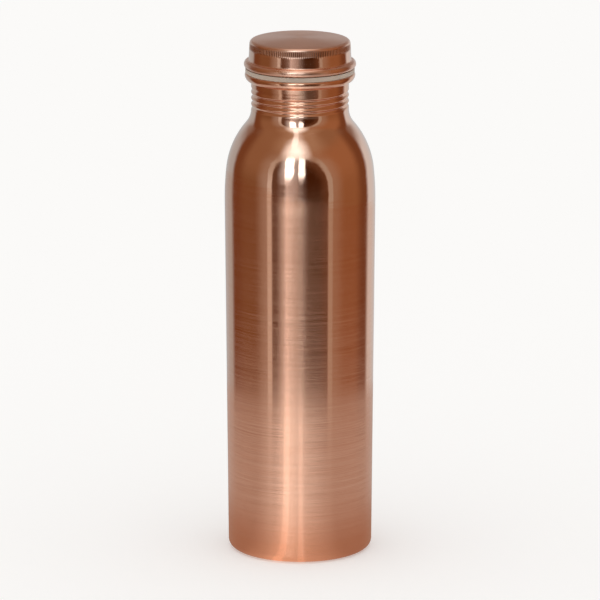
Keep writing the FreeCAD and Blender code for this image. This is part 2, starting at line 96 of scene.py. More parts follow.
# Segments round the axis.  The cap has a few for every tooth of its knurl.
SEGMENTS, FINE_SEGMENTS, TOOTH_SEGMENTS, DISC_SEGMENTS = 192, 224, 4, 96
SHARP = 55.0  # edges that bend by more degrees than this are shaded as sharp
FEWEST_ARC_STEPS, EDGE_POINTS = 4, 5  # points along a small arc, and round a sheet's edge
WELD = 1e-7  # points closer than this become one, in metres


# ---------------------------------------------------------------- camera

def add_camera():
    """A long lens in front of the bottle, 14 degrees above the horizontal."""
    target, distance, elevation = Vector((0, 0, 0.1264)), 2.762, math.radians(14.0)
    data = bpy.data.cameras.new("camera")
    data.sensor_width, data.lens = 36.0, 332.4
    data.clip_start, data.clip_end = 0.05, 60.0
    camera = bpy.data.objects.new("camera", data)
    camera.location = target + distance * Vector((0, -math.cos(elevation), math.sin(elevation)))
    camera.rotation_euler = (target - camera.location).to_track_quat("-Z", "Y").to_euler()
    bpy.context.scene.collection.objects.link(camera)
    bpy.context.scene.camera = camera


# ---------------------------------------------------------------- outlines

def walk(start, heading, steps):
    """Points and left-hand normals along lines and tangent arcs laid end to end.

    The heading is in degrees, 0 outwards and 90 up.  A step is ("line", length, gap) or
    ("arc", radius, turn, gap): turns are in degrees, left is positive, and gap is about the
    distance between points.  ("corner", turn) bends sharply.
    """
    here, angle = np.array(start, dtype=float), math.radians(heading)
    points, normals = [], []

    def note(point, direction):
        points.append(point)
        normals.append((-math.sin(direction), math.cos(direction)))

    note(here, angle)
    for kind, *numbers in steps:
        if kind == "corner":
            angle += math.radians(numbers[0])
            note(here, angle)
        elif kind == "line":
            length, gap = numbers
            count = max(1, math.ceil(length / gap))
            along = np.array((math.cos(angle), math.sin(angle)))
            for index in range(1, count + 1):
                note(here + along * length * index / count, angle)
            here = here + along * length
        else:
            radius, degrees, gap = numbers
            turn = math.radians(degrees)
            count = max(FEWEST_ARC_STEPS, math.ceil(abs(turn) * radius / gap))
            reach = math.copysign(radius, turn)
            centre = here + reach * np.array((-math.sin(angle), math.cos(angle)))
            for index in range(1, count + 1):
                direction = angle + turn * index / count
                spoke = np.array((math.sin(direction), -math.cos(direction)))
                note(centre + reach * spoke, direction)
            angle += turn
            here = points[-1]
    return np.array(points), np.array(normals), math.degrees(angle)


def rounded_end(front, back, outward):
    """Points of the half-round edge of a sheet, from its front to its back."""
    middle, half = (front + back) / 2, (front - back) / 2
    reach = np.array(outward) * np.linalg.norm(half)
    angles = [math.pi * step / (EDGE_POINTS + 1) for step in range(1, EDGE_POINTS + 1)]
    return np.array([middle + half * math.cos(a) + reach * math.sin(a) for a in angles])


def sheet_outline(points, normals, side, start_round=True):
    """The outline of a bent sheet whose back lies on side 1, the left, or -1, the right."""
    back = points + normals * SHEET * side
    ahead = (normals[-1][1], -normals[-1][0])
    parts = [points, rounded_end(points[-1], back[-1], ahead), back[::-1]]
    if start_round:
        behind = (-normals[0][1], normals[0][0])
        parts.append(rounded_end(back[0], points[0], behind))
    return np.concatenate(parts)


# ---------------------------------------------------------------- meshes

def lathe(name, outline, segments, shape=None, closed=True):
    """Turn an outline about Z.  shape(radius, height, azimuth) moves its points in or out."""
    azimuths = np.arange(segments) * 2 * math.pi / segments
    radius = np.repeat(outline[:, :1], segments, axis=1)
    height = np.repeat(outline[:, 1:], segments, axis=1)
    azimuth = np.repeat(azimuths[None, :], len(outline), axis=0)
    if shape is not None:
        radius = radius + shape(radius, height, azimuth)
    corners = np.stack((radius * np.cos(azimuth), radius * np.sin(azimuth), height), axis=-1)

    rings = len(outline)
    first = np.arange(rings if closed else rings - 1)
    second = (first + 1) % rings
    column = np.arange(segments)
    after = (column + 1) % segments
    faces = np.stack((
        first[:, None] * segments + column[None, :], first[:, None] * segments + after[None, :],
        second[:, None] * segments + after[None, :], second[:, None] * segments + column[None, :],
    ), axis=-1).reshape(-1, 4)

    mesh = bpy.data.meshes.new(name)
    mesh.from_pydata((corners.reshape(-1, 3) * MM).tolist(), [], faces.tolist())
    editable = bmesh.new()
    editable.from_mesh(mesh)
    bmesh.ops.remove_doubles(editable, verts=editable.verts, dist=WELD)
    bmesh.ops.recalc_face_normals(editable, faces=editable.faces)
    editable.to_mesh(mesh)
    editable.free()
    mesh.polygons.foreach_set("use_smooth", [True] * len(mesh.polygons))
    mesh.set_sharp_from_angle(angle=math.radians(SHARP))
    piece = bpy.data.objects.new(name, mesh)
    bpy.context.scene.collection.objects.link(piece)
    return piece


def smooth_step(value, low, high):
    """0 below low, 1 above high, and a smooth rise between them."""
    share = np.clip((value - low) / (high - low), 0, 1)
    return share * share * (3 - 2 * share)


def rolled_thread(foot, turns, depth, fade_foot=THREAD_FADE):
    """A right-handed helical groove with round crests, which fades out at its ends."""
    def shape(radius, height, azimuth):
        share = ((azimuth - THREAD_START_AZIMUTH) / (2 * math.pi)) % 1
        rise = (height - foot) / PITCH
        turn = np.round(rise - share) + share
        groove = 0.5 + 0.5 * np.cos(2 * math.pi * np.clip(rise - turn, -0.5, 0.5))
        strength = smooth_step(turn, -fade_foot, fade_foot) * (
            1 - smooth_step(turn, turns - THREAD_FADE, turns + THREAD_FADE))
        return -depth * groove * strength
    return shape


# ---------------------------------------------------------------- bottle

def wall_slope():
    """The wall's lean outwards, in degrees."""
    return math.degrees(math.atan2(WALL_TOP - WALL_FOOT, SHOULDER_HEIGHT - FOOT_CORNER))


def make_bottle_body():
    """The spun copper body, from the turned-in foot to the rolled lip."""
    slope = wall_slope()
    lean = math.radians(slope)
    corner_centre = WALL_FOOT - FOOT_CORNER * math.cos(lean)
    wall_length = (SHOULDER_HEIGHT - FOOT_CORNER * (1 - math.sin(lean))) / math.cos(lean)
    shoulder_turn = CONE_SLOPE + slope - EASE_TURN

    def up_to_neck(cone):
        return (
            ("line", corner_centre - FOOT_EDGE, 0.8),
            ("arc", FOOT_CORNER, 90 - slope, 0.35),
            ("line", wall_length, 5.0),
            ("arc", EASE_RADIUS, EASE_TURN, 1.5),
            ("arc", SHOULDER_RADIUS, shoulder_turn, 0.8),
            ("line", cone, 0.6),
            ("arc", NECK_FILLET, -CONE_SLOPE, 0.3),
        )

    # A trial cone misses the neck's radius, and by how much gives the real cone's length.
    trial_cone = 1.0
    points, _, _ = walk((FOOT_EDGE, 0), 0, up_to_neck(trial_cone))
    cone = trial_cone + (points[-1][0] - NECK_RADIUS) / math.sin(math.radians(CONE_SLOPE))
    points, _, _ = walk((FOOT_EDGE, 0), 0, up_to_neck(cone))
    neck_length = MOUTH - SHEET - LIP_BEND - points[-1][1]
    points, normals, _ = walk((FOOT_EDGE, 0), 0, (
        *up_to_neck(cone),
        ("line", neck_length, 0.21),
        ("arc", LIP_BEND, -90, 0.08),
        ("line", LIP_LAND, 0.4),
        ("arc", LIP_BEND, -90, 0.08),
        ("arc", LIP_ROLL, -LIP_ROLL_TURN, 0.2),
    ))
    outline = sheet_outline(points, normals, 1)
    thread = rolled_thread(THREAD_FOOT, NECK_TURNS, NECK_THREAD_DEPTH)

    def shape(radius, height, azimuth):
        on_neck = (height < MOUTH - LIP_REACH) & (height > THREAD_FOOT - PITCH)
        return np.where(on_neck, thread(radius, height, azimuth), 0.0)

    body = lathe("bottle_body", outline, SEGMENTS, shape)
    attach(body, "bottle")
    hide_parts("body_shell")
    return body


def make_base_dish():
    """The pressed base, seen from below and through the mouth."""
    middle_height = SHEET + DISH_RISE
    turn = math.radians(DISH_SLOPE)
    bend_run, bend_drop = DISH_BEND * math.sin(turn), DISH_BEND * (1 - math.cos(turn))
    slope_length = (DISH_RISE - 2 * bend_drop) / math.sin(turn)
    middle_radius = BASE_RIM - 2 * bend_run - slope_length * math.cos(turn)
    flange_radius = WALL_FOOT - SHEET - BASE_GAP
    points, normals, _ = walk((0, middle_height), 0, (
        ("line", middle_radius, 2.0),
        ("arc", DISH_BEND, -DISH_SLOPE, 0.3),
        ("line", slope_length, 1.0),
        ("arc", DISH_BEND, DISH_SLOPE, 0.3),
        ("line", flange_radius - BASE_CORNER - BASE_RIM, 0.8),
        ("arc", BASE_CORNER, 90, 0.35),
        ("line", BASE_FLANGE, 1.0),
    ))
    outline = sheet_outline(points, normals, 1, start_round=False)
    dish = lathe("base_dish", outline, SEGMENTS, closed=False)
    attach(dish, "bottle")
    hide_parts("base_cup")
    return dish


def make_braze():
    """The braze fillet, a little uneven where it has flowed."""
    low, high = (corner[2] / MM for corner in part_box("base_braze_ring"))
    outer = radius_of("base_braze_ring")
    inner = WALL_FOOT - 2 * SHEET - BASE_GAP
    still = 0.05  # points this near the foot or the top stay in place
    # A flat foot, a straight back against the wall, and a hollow face back down to the foot.
    outline = np.array((
        (inner, low), (outer - 0.02, low), (outer - 0.01, high),
        (outer - 0.15, high - 0.45), (outer - 0.35, low + 0.4), (inner + 0.12, low + 0.12),
    ))

    def shape(radius, height, azimuth):
        wave = 0.06 * np.sin(7 * azimuth) + 0.04 * np.sin(13 * azimuth + 1.0)
        return np.where((height > low + still) & (height < high - still), wave, 0.0)

    ring = lathe("braze_fillet", outline, SEGMENTS, shape)
    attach(ring, "bottle")
    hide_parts("base_braze_ring")
    return ring


def make_seal():
    """The silicone ring, with soft edges."""
    low, high = (corner[2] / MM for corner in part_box("sealing_ring"))
    width = radius_of("sealing_ring") - SEAL_INNER
    side = ("line", high - low - SEAL_ROUND - SEAL_TOP_ROUND, 0.4)
    points, _, _ = walk((SEAL_INNER + SEAL_ROUND, low), 0, (
        ("line", width - 2 * SEAL_ROUND, 0.4),
        ("arc", SEAL_ROUND, 90, 0.1),
        side,
        ("arc", SEAL_TOP_ROUND, 90, 0.05),
        ("line", width - 2 * SEAL_TOP_ROUND, 0.4),
        ("arc", SEAL_TOP_ROUND, 90, 0.05),
        side,
        ("arc", SEAL_ROUND, 90, 0.1),
    ))
    # The last point is the first one again.
    ring = lathe("silicone_seal", points[:-1], FINE_SEGMENTS)
    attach(ring, "seal")
    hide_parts("sealing_ring")
    return ring


# ---------------------------------------------------------------- cap

def grip_and_crease(grip_top):
    """The grip's length and the heading in which the crease meets the rim's round section.

    The grip runs down until the crease's bend just touches that section.
    """
    lean = math.radians(GRIP_SLOPE)
    down = np.array((math.sin(lean), -math.cos(lean)))
    rim_centre = np.array((RIM_RADIUS, RIM_HEIGHT))
    crease_start = grip_top + RIM_CREASE * np.array((math.cos(lean), math.sin(lean)))
    offset = crease_start - rim_centre
    reach = RIM_CREASE + RIM_SECTION
    along = offset @ down
    length = -along - math.sqrt(along * along - (offset @ offset - reach * reach))
    towards = crease_start + down * length - rim_centre
    return length, math.degrees(math.atan2(towards[1], towards[0])) - 90


def make_cap():
    """The drawn cap: dome, knurl, grip and the rim rolled round the plug's flange."""
    dome_and_edge = (
        ("arc", DOME_RADIUS, -DOME_TURN, 1.5),
        ("arc", CAP_EDGE, -90 + GRIP_SLOPE + DOME_TURN, 0.2),
    )
    top, _, grip_heading = walk((0, CAP_CREST), 0, dome_and_edge)
    grip_top = top[-1]
    knurl_length = grip_top[1] - KNURL_FOOT
    grip_length, rim_heading = grip_and_crease(grip_top)
    points, normals, _ = walk((0, CAP_CREST), 0, (
        *dome_and_edge,
        ("line", knurl_length, 0.25),
        ("line", grip_length - knurl_length, 0.6),
        ("arc", RIM_CREASE, rim_heading - grip_heading, 0.1),
        ("arc", RIM_SECTION, -(rim_heading + 180 + RIM_END), 0.4),
    ))
    outline = sheet_outline(points, normals, -1, start_round=False)
    outer_face = grip_top[0] - SHEET / 2

    def shape(radius, height, azimuth):
        band = smooth_step(height, *KNURL_COMES) * (1 - smooth_step(height, *KNURL_GOES))
        groove = 0.5 + 0.5 * np.cos(KNURL_COUNT * azimuth)
        return np.where(radius > outer_face, -KNURL_DEPTH * groove * band, 0.0)

    cap = lathe("cap_shell", outline, KNURL_COUNT * TOOTH_SEGMENTS, shape, closed=False)
    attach(cap, "cap")
    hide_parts("cap_cup")
    return cap


def make_plug():
    """The threaded plug under the cap, with a flat end and a flange that the cap's rim grips."""
    flange_height = RIM_HEIGHT - HOOK_RADIUS
    bore = PLUG_RADIUS - PLUG_WALL
    points, _, _ = walk((0, PLUG_FOOT), 0, (
        ("line", PLUG_RADIUS - PLUG_CORNER, 1.5),
        ("arc", PLUG_CORNER, 90, 0.2),
        ("line", flange_height - FLANGE_FILLET - PLUG_FOOT - PLUG_CORNER, 0.17),
        ("arc", FLANGE_FILLET, -90, 0.12),
        ("line", RIM_RADIUS - PLUG_RADIUS - FLANGE_FILLET, 0.5),
        ("arc", HOOK_RADIUS, HOOK_TURN, 0.2),
        ("corner", 90),
        ("line", SHEET, 0.3),
        ("corner", 90),
        ("arc", HOOK_RADIUS - SHEET, -HOOK_TURN, 0.15),
        ("line", RIM_RADIUS - bore, 0.8),
        ("corner", 90),
        ("line", flange_height + SHEET - PLUG_FOOT - PLUG_FLOOR, 1.0),
        ("corner", -90),
        ("line", bore, 2.0),
    ))
    # A corner leaves two points in one place, and the outline needs only one of them.
    moved = np.linalg.norm(np.diff(points, axis=0), axis=1) > WELD / MM
    outline = points[np.concatenate(([True], moved))]
    thread = rolled_thread(THREAD_FOOT - PITCH, PLUG_TURNS, PLUG_THREAD_DEPTH, OPEN_END)
    plain_top = 2.0

    def shape(radius, height, azimuth):
        # The bore and the flange stay plain.
        outer_face = smooth_step(radius, PLUG_RADIUS - 0.9, PLUG_RADIUS - 0.1)
        threaded = height < flange_height - plain_top
        return np.where(threaded, outer_face * thread(radius, height, azimuth), 0.0)

    plug = lathe("cap_plug_thread", outline, FINE_SEGMENTS, shape, closed=False)
    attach(plug, "cap")
    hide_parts("cap_plug")
    return plug


# ---------------------------------------------------------------- shader nodes

class Nodes:
    """A node tree, written as nested calls.  Each call returns the new node's output."""

    def __init__(self, tree):
        self.tree = tree
        tree.nodes.clear()

    def add(self, kind, inputs=None, output=0, **settings):
        """A node of this kind, with its inputs linked or set, and the output asked for."""
        node = self.tree.nodes.new("ShaderNode" + kind)
        for name, value in settings.items():
            setattr(node, name, value)
        for name, value in (inputs or {}).items():
            self.fill(node.inputs[name], value)
        return node.outputs[output]

    def fill(self, socket, value):
        """Link a node's output to this input, or set the input to a plain value."""
        if isinstance(value, bpy.types.NodeSocket):
            self.tree.links.new(value, socket)
        else:
            socket.default_value = value

    def surface(self, kind, shader):
        """Make a shader the surface of the material or the world."""
        output = self.tree.nodes.new("ShaderNodeOutput" + kind)
        self.tree.links.new(shader, output.inputs["Surface"])

    def math(self, operation, *values):
        """One step of arithmetic on nodes' outputs or numbers."""
        return self.add("Math", dict(enumerate(values)), operation=operation)

    def plus(self, first, second):
        return self.math("ADD", first, second)

    def times(self, first, second):
        return self.math("MULTIPLY", first, second)

    def minus(self, first, second):
        return self.math("SUBTRACT", first, second)

    def larger(self, first, second):
        return self.math("MAXIMUM", first, second)

    def degrees(self, radians):
        return self.times(radians, 180 / math.pi)

    def away(self, value, centre):
        """How far a value is from this one, to either side."""
        return self.math("ABSOLUTE", self.minus(value, centre))

    def length(self, first, second):
        """The length of the vector that has these two parts."""
        squares = self.plus(self.math("POWER", first, 2.0), self.math("POWER", second, 2.0))
        return self.math("SQRT", squares)

    def split(self, vector):
        """The three parts of a vector."""
        node = self.tree.nodes.new("ShaderNodeSeparateXYZ")
        self.tree.links.new(vector, node.inputs[0])
        return node.outputs

    def azimuth(self, place):
        """Degrees round the Z axis from the front, positive to the right."""
        x, y, _ = self.split(place)
        return self.degrees(self.math("ARCTAN2", x, self.times(y, -1.0)))

    def distance(self, place):
        """The distance from the Z axis."""
        x, y, _ = self.split(place)
        return self.length(x, y)

    def between(self, share, low, high):
        """The number that lies this share of the way from low to high."""
        return self.add("MapRange", {"Value": share, "To Min": low, "To Max": high})

    def smooth(self, value, low, high, at_low=0.0, at_high=1.0):
        """at_low below low, at_high above high, and a smooth change between them."""
        ends = {"From Min": low, "From Max": high, "To Min": at_low, "To Max": at_high}
        return self.add("MapRange", {"Value": value, **ends}, interpolation_type="SMOOTHSTEP")

    def band(self, value, low, high, soft):
        """1 between low and high, and 0 outside them."""
        rise = self.smooth(value, low - soft, low + soft)
        return self.times(rise, self.smooth(value, high - soft, high + soft, 1.0, 0.0))

    def mix(self, share, first, second):
        """Colours mixed by a share, where 0 is the first."""
        node = self.tree.nodes.new("ShaderNodeMix")
        node.data_type = "RGBA"
        # The node has sockets for every data type: its colours are 6 and 7, and come out at 2.
        self.fill(node.inputs[0], share)
        for socket, colour in ((6, first), (7, second)):
            plain = isinstance(colour, tuple)
            self.fill(node.inputs[socket], (*colour, 1) if plain else colour)
        return node.outputs[2]

    def tint(self, colour, filter_colour):
        """A colour multiplied by a filter's colour."""
        return self.add("VectorMath", {0: colour, 1: filter_colour}, operation="MULTIPLY")

    def noise(self, scale, detail, roughness=0.5, stretch=(1, 1, 1), at=None):
        """Noise over the object's own coordinates; scale is in cells per metre."""
        where = at or self.add("TexCoord", output="Object")
        where = self.add("Mapping", {"Vector": where, "Scale": [scale * s for s in stretch]})
        inputs = {"Vector": where, "Scale": 1.0, "Detail": detail, "Roughness": roughness}
        return self.add("TexNoise", inputs)

    def bump(self, height, distance, strength=1.0, normal=None):
        """Bump of this height in metres, over another bump if there is one."""
        inputs = {"Height": height, "Distance": distance, "Strength": strength}
        if normal is not None:
            inputs["Normal"] = normal
        return self.add("Bump", inputs)


def new_material(name):
    """A new material and its empty node tree."""
    material = bpy.data.materials.new(name)
    material.use_nodes = True
    return material, Nodes(material.node_tree)


# ---------------------------------------------------------------- studio

# What the copper mirrors.  Directions are in degrees: azimuth from the front, positive to the
# right, and elevation from the horizon.  Colours are linear light, and the windows' are over 1.
OPENING_HALF, OPENING_TOP, OPENING_BORDER = 44.0, 33.0, 8.0
LEFT_CORNER, RIGHT_CORNER = 26.0, 42.0
WINDOW, LOW_WINDOW = (2.5, 2.9, 3.0), (2.0, 1.92, 1.85)
LEFT_WALL, RIGHT_WALL = (0.26, 0.135, 0.068), (0.32, 0.150, 0.069)
LOW_LEFT_WALL, LOW_RIGHT_WALL = (0.185, 0.085, 0.035), (0.26, 0.116, 0.048)
SIDE_CORNER = (0.17, 0.066, 0.028)
LEFT_BEHIND, RIGHT_BEHIND, HIGH_BEHIND = (0.37, 0.42, 0.44), (0.70, 0.75, 0.77), (0.25, 0.18, 0.145)
UPPER_FRONT, UPPER_SIDE, UPPER_BEHIND = (0.37, 0.24, 0.15), (0.27, 0.145, 0.075), (0.29, 0.22, 0.18)
CEILING = (1.05, 0.95, 0.88)
LEFT_BORDER, LOW_LEFT_BORDER, RIGHT_BORDER = (0.46, 0.39, 0.32), (0.58, 0.53, 0.47), (0.41, 0.34, 0.27)
DARK, LOW_DARK = (0.05, 0.015, 0.004), (0.09, 0.052, 0.03)
DARK_EDGE, DARK_WINDOWS = (0.12, 0.05, 0.022), (0.12, 0.06, 0.035)
SOFT_LIGHT, BACKDROP = (0.80, 0.79, 0.78), (0.965, 0.965, 0.96)


def window(nodes, azimuth, high, left, right, level):
    """One window's light, from 0 to 1.

    The left edge fades in between two azimuths.  The right edge and the level have two values
    each, for high at 0 and at 1.
    """
    past_right = nodes.minus(azimuth, nodes.between(high, *right))
    light = nodes.times(nodes.smooth(azimuth, *left), nodes.smooth(past_right, -2, 2, 1, 0))
    return nodes.times(light, nodes.between(high, *level))


def window_light(nodes, azimuth, high):
    """How bright the windows behind the opening are, from 0 to 1.

    high is 1 above the horizon, where both windows are clear, and 0 below it, where they are
    dim and narrower.
    """
    haze = nodes.times(nodes.smooth(azimuth, -38, -22), nodes.smooth(azimuth, -20, 14, 0.21, 0))
    wide = window(nodes, azimuth, high, left=(-27, -22), right=(-17.0, -9.5), level=(0.25, 1.0))
    narrow = window(nodes, azimuth, high, left=(-3.5, -1.5), right=(2.5, 8.0), level=(0.03, 0.75))
    return nodes.larger(haze, nodes.larger(wide, narrow))


def outside_opening(nodes, azimuth, elevation):
    """Degrees outside the opening, a doorway with round top corners, the right one rounder."""
    corner = nodes.smooth(azimuth, -5, 5, LEFT_CORNER, RIGHT_CORNER)
    aside = nodes.away(azimuth, 0.0)
    across = nodes.larger(nodes.plus(nodes.minus(aside, OPENING_HALF), corner), 0.0)
    above = nodes.larger(nodes.plus(nodes.minus(elevation, OPENING_TOP), corner), 0.0)
    return nodes.minus(nodes.length(across, above), corner)


def room_light(nodes, azimuth, elevation, right):
    """Warm walls at the sides, pale light behind, and a warm upper part all round.

    right is the direction's part to the right, from -1 to 1.
    """
    aside = nodes.away(azimuth, 0.0)
    rightness = nodes.smooth(azimuth, -60, 60)
    low_walls = nodes.mix(rightness, LOW_LEFT_WALL, LOW_RIGHT_WALL)
    walls = nodes.mix(rightness, LEFT_WALL, RIGHT_WALL)
    walls = nodes.mix(nodes.smooth(elevation, -16, 16), low_walls, walls)
    walls = nodes.mix(nodes.smooth(aside, 92, 114), walls, SIDE_CORNER)
    behind = nodes.mix(nodes.math("MULTIPLY_ADD", right, 0.5, 0.5), LEFT_BEHIND, RIGHT_BEHIND)
    behind = nodes.mix(nodes.smooth(elevation, 5, 24), behind, HIGH_BEHIND)
    room = nodes.mix(nodes.smooth(aside, 121, 133), walls, behind)
    upper = nodes.mix(nodes.smooth(aside, 30, 75), UPPER_FRONT, UPPER_SIDE)
    upper = nodes.mix(nodes.smooth(aside, 100, 135), upper, UPPER_BEHIND)
    return nodes.mix(nodes.smooth(elevation, 30, 50), room, upper)


def overhead_light(nodes, azimuth, elevation, room):
    """The room with a soft glow above the opening, a shaft of light and a pale ceiling."""
    glow_azimuth, glow_elevation = -8.0, 38.0
    away = nodes.length(nodes.minus(azimuth, glow_azimuth), nodes.minus(elevation, glow_elevation))
    glow = nodes.smooth(away, 2, 36, 0.62, 0.0)
    shaft = nodes.times(nodes.band(azimuth, -22, -3, 5), nodes.smooth(elevation, 52, 80, 0.55, 0.0))
    room = nodes.mix(nodes.larger(glow, shaft), room, WINDOW)
    return nodes.mix(nodes.smooth(elevation, 66, 74), room, CEILING)


def with_border(nodes, azimuth, elevation, outside, high, room):
    """The room with the pale border round the opening, which fades away outwards."""
    border = nodes.larger(nodes.band(outside, 0.0, OPENING_BORDER, 1.2),
                          nodes.smooth(outside, OPENING_BORDER, 32, 0.38, 0.0))
    border = nodes.times(border, nodes.smooth(elevation, 20, 40, 1.0, 0.25))
    colour = nodes.mix(high, LOW_LEFT_BORDER, LEFT_BORDER)
    colour = nodes.mix(nodes.smooth(azimuth, -10, 10), colour, RIGHT_BORDER)
    return nodes.mix(border, room, colour)


def inside_opening(nodes, azimuth, elevation, outside, high):
    """The dark opening, with the light of its windows."""
    dark = nodes.mix(nodes.smooth(elevation, -13, 0), LOW_DARK, DARK)
    dark = nodes.mix(nodes.smooth(outside, -17, 0), dark, DARK_EDGE)
    dark = nodes.mix(nodes.band(azimuth, -OPENING_HALF, -3, 2), dark, DARK_WINDOWS)
    # Something dark stands low at the left of the opening, in front of the wide window.
    jamb = nodes.times(nodes.band(elevation, -9.0, -1.5, 1.2),
                       nodes.smooth(azimuth, -26, -19, 0.75, 0.0))
    light = nodes.times(window_light(nodes, azimuth, high), nodes.minus(1.0, jamb))
    inside = nodes.mix(light, dark, nodes.mix(high, LOW_WINDOW, WINDOW))
    # A bright strip low in the windows, at the height that the neck mirrors.
    strip = nodes.times(nodes.band(elevation, -13.0, -10.2, 0.5),
                        nodes.smooth(nodes.away(azimuth, -10.0), 4, 30, 0.33, 0.02))
    return nodes.mix(strip, inside, WINDOW)


def studio_world():
    """A dark opening with two bright windows in it, in front, and a warm room all round.

    Only reflections see it.  The camera and the soft light see a plain pale world.
    """
    world = bpy.data.worlds.new("studio")
    world.use_nodes = True
    world.cycles.sampling_method = "NONE"
    bpy.context.scene.world = world
    nodes = Nodes(world.node_tree)
    direction = nodes.add("TexCoord", output="Generated")
    right, _, height = nodes.split(direction)
    azimuth = nodes.azimuth(direction)
    elevation = nodes.degrees(nodes.math("ARCSINE", height))
    high = nodes.smooth(elevation, -4, 14)
    outside = outside_opening(nodes, azimuth, elevation)

    room = room_light(nodes, azimuth, elevation, right)
    room = overhead_light(nodes, azimuth, elevation, room)
    room = with_border(nodes, azimuth, elevation, outside, high, room)
    inside = inside_opening(nodes, azimuth, elevation, outside, high)
    seen = nodes.mix(nodes.smooth(outside, -1.5, 0.8, 1.0, 0.0), room, inside)
    seen = nodes.mix(nodes.add("LightPath", output="Is Diffuse Ray"), seen, SOFT_LIGHT)
    seen = nodes.mix(nodes.add("LightPath", output="Is Camera Ray"), seen, BACKDROP)
    nodes.surface("World", nodes.add("Background", {"Color": seen}))


# ---------------------------------------------------------------- floor, in metres

FLOOR_RADIUS, FLOOR_HEIGHT = 12.0, -0.0002
TABLE_RADIUS, TABLE_HEIGHT = 0.325, -0.0001
FLOOR_DARK, FLOOR_LIGHT = (0.84, 0.838, 0.833), (0.87, 0.868, 0.863)
FLOOR_GLOW, FLOOR_GLOW_STRENGTH = (0.99, 0.99, 0.98, 1), 0.285
TABLE_FRONT, TABLE_AROUND = (0.84, 0.83, 0.81), (0.48, 0.415, 0.38)
NEAR_FOOT_SHADE = (0.79, 0.56, 0.44)


def add_disc(name, radius, height):
    """A flat disc about the axis, facing up."""
    mesh = bpy.data.meshes.new(name)
    ring = [2 * math.pi * index / DISC_SEGMENTS for index in range(DISC_SEGMENTS)]
    corners = [(radius * math.cos(a), radius * math.sin(a), height) for a in ring]
    mesh.from_pydata(corners, [], [tuple(range(DISC_SEGMENTS))])
    disc = bpy.data.objects.new(name, mesh)
    bpy.context.scene.collection.objects.link(disc)
    return disc


def add_floor():
    """The pale floor.  The copper doesn't mirror it."""
    floor = add_disc("floor", FLOOR_RADIUS, FLOOR_HEIGHT)
    floor.visible_glossy = False
    material, nodes = new_material("floor_paper")
    nodes.surface("Material", nodes.add("BsdfPrincipled", {
        "Base Color": nodes.mix(nodes.noise(900, 4), FLOOR_DARK, FLOOR_LIGHT),
        "Roughness": 0.9, "Specular IOR Level": 0.0,
        "Emission Color": FLOOR_GLOW, "Emission Strength": FLOOR_GLOW_STRENGTH,
    }))
    floor.data.materials.append(material)


def add_table():
    """A glowing table round the foot, which is seen only mirrored in the copper: its glow is painted
    light, with the windows' painted reflection and painted shade near the foot.
    """
    table = add_disc("table_top", TABLE_RADIUS, TABLE_HEIGHT)
    for kind in ("camera", "diffuse", "shadow", "transmission", "volume_scatter"):
        setattr(table, "visible_" + kind, False)
    material, nodes = new_material("table_glow")
    place = nodes.add("TexCoord", output="Object")
    azimuth = nodes.azimuth(place)
    glow = nodes.mix(nodes.smooth(nodes.away(azimuth, -8.0), 5, 62), TABLE_FRONT, TABLE_AROUND)
    # The windows' painted reflection on the table.
    windows = nodes.times(window_light(nodes, azimuth, high=0.3), 0.74)
    glow = nodes.mix(windows, glow, LOW_WINDOW)
    # Painted shade near the foot: darker and more orange, as though the copper's light fell on shaded
    # floor.
    far = nodes.smooth(nodes.distance(place), 0.05, 0.15)
    glow = nodes.mix(far, nodes.tint(glow, NEAR_FOOT_SHADE), glow)
    nodes.surface("Material", nodes.add("Emission", {"Color": glow}))
    table.data.materials.append(material)


# ---------------------------------------------------------------- materials

COPPER, CLOUDY_COPPER = (0.955, 0.63, 0.50), (0.95, 0.61, 0.475)
BRUSHED_COPPER, CAP_CLOUD = (0.94, 0.56, 0.41), (0.93, 0.56, 0.42)
WALL_DARK, WALL_LIGHT, WALL_CLOUD = (0.925, 0.53, 0.375), (0.95, 0.58, 0.43), (0.91, 0.50, 0.35)
STAIN, GROOVE_SHADE_AND_POLISH = (0.70, 0.35, 0.21), (0.22, 0.10, 0.055)
BRAZE_DARK, BRAZE_LIGHT = (0.72, 0.56, 0.42), (0.86, 0.66, 0.48)
SILICONE_DARK, SILICONE_LIGHT, DUST = (0.44, 0.345, 0.275), (0.52, 0.42, 0.34), (0.86, 0.83, 0.8)

# Where one finish turns into the next, in metres: heights, and a radius for the dome.
POLISH_STARTS, POLISH_ENDS = (0.1905, 0.1955), (0.2262, 0.2285)
RIM_ENDS, DOME_STARTS, DOME_ENDS = (0.2489, 0.2496), (0.2570, 0.2578), (0.0246, 0.0251)


def spun_metal(nodes, colour, rough, normal, anisotropic):
    """A metal surface with its brushing round the axis."""
    nodes.surface("Material", nodes.add("BsdfPrincipled", {
        "Base Color": colour, "Metallic": 1.0, "Roughness": rough, "Normal": normal,
        "Anisotropic": anisotropic, "Anisotropic Rotation": 0.25,
        "Tangent": nodes.add("Tangent", direction_type="RADIAL", axis="Z"),
    }))


def stained(nodes, colour, scale, low, amount):
    """A colour with stains on it, up to this amount, where a noise of this scale is over low."""
    stain = nodes.smooth(nodes.noise(scale, 6, 0.7), low, 0.8, 0.0, amount)
    return nodes.mix(stain, colour, STAIN)


def turning_marks(nodes):
    """Noise drawn out round the axis."""
    return nodes.noise(40, 6, 0.75, (0.8, 0.8, 30.0))


def body_finishes(nodes):
    """Two masks: the polish over the shoulder, and the neck above it."""
    x, _, z = nodes.split(nodes.add("TexCoord", output="Object"))
    # The polish reaches a little lower on the right, and ends in streaks along the brushing.
    streaks = nodes.noise(90, 4, 0.7, (0.5, 0.5, 5.0))
    lower_edge = nodes.plus(nodes.times(x, 0.22), z)
    lower_edge = nodes.plus(lower_edge, nodes.times(streaks, 0.012))
    neck = nodes.smooth(nodes.plus(nodes.times(streaks, 0.004), z), *POLISH_ENDS)
    polished = nodes.times(nodes.smooth(lower_edge, *POLISH_STARTS), nodes.minus(1.0, neck))
    return polished, neck


